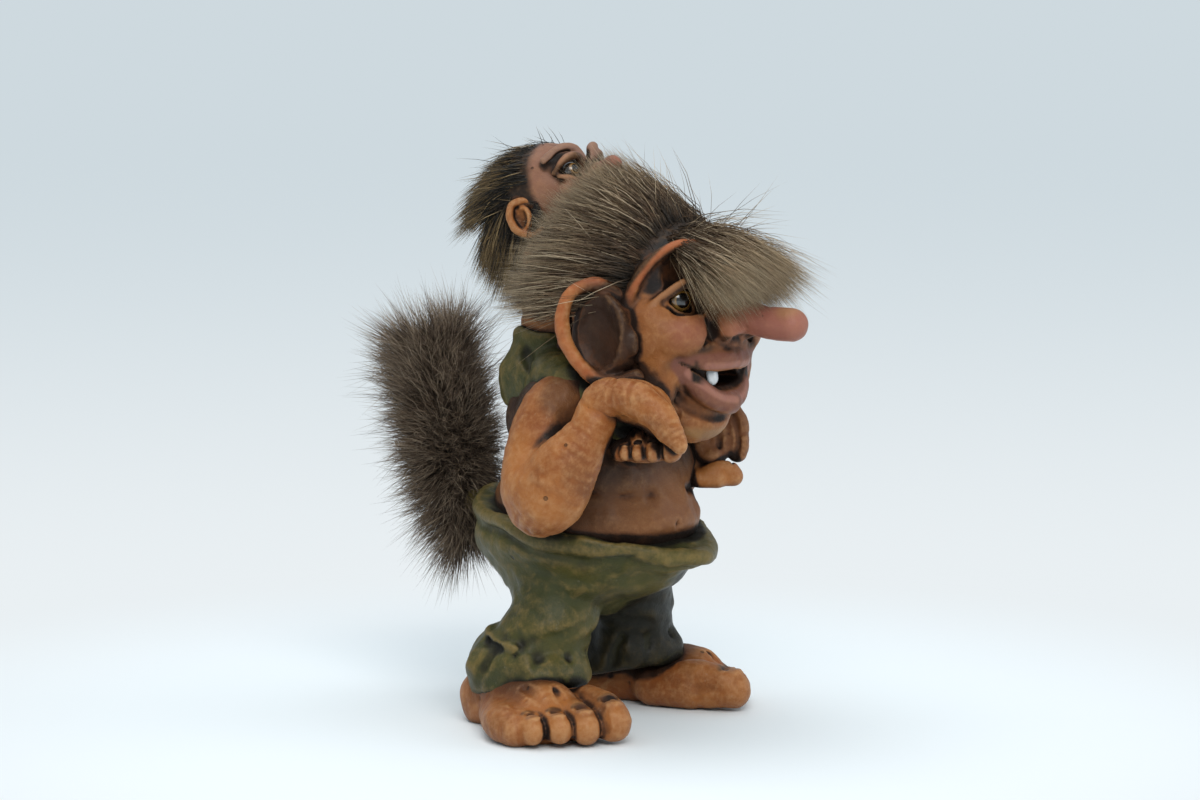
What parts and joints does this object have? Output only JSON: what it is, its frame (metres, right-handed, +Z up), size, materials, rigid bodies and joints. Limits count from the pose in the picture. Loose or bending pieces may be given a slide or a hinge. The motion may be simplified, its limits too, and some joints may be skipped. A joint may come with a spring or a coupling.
{
  "type": "folk troll figurine",
  "caption": "Folk troll figure with a child on its shoulders: painted casting with glass eyes, a long nose, green trousers, bare feet and fur for hair and tail.",
  "frame": {"origin": "On the ground under the middle of the figure, between its feet", "axes": "+X is the figure's left, -Y is the way it faces, +Z is up"},
  "size_m": [0.1112, 0.1485, 0.1621],
  "materials": {
    "skin_paint": "satin",
    "trouser_paint": "matte",
    "grey_fur": "fluffy",
    "dark_fur": "fluffy",
    "glass_eye": "gloss",
    "tooth_enamel": "gloss"
  },
  "bodies": {
    "root": {"trousers": "trouser_paint", "torso": "skin_paint", "right_foot": "skin_paint", "left_foot": "skin_paint", "right_arm": "skin_paint", "left_arm": "skin_paint", "right_hand": "skin_paint", "left_hand": "skin_paint", "head": "skin_paint", "right_ear": "skin_paint", "left_ear": "skin_paint", "right_eye": "glass_eye", "left_eye": "glass_eye", "tooth": "tooth_enamel", "hair": "grey_fur", "tail_root": "trouser_paint", "tail_fur": "grey_fur", "child_trousers": "trouser_paint", "child_torso": "skin_paint", "child_right_foot": "skin_paint", "child_left_foot": "skin_paint", "child_head": "skin_paint", "child_right_ear": "skin_paint", "child_left_ear": "skin_paint", "child_right_eye": "glass_eye", "child_left_eye": "glass_eye", "child_hair": "dark_fur"}
  },
  "joints": []
}
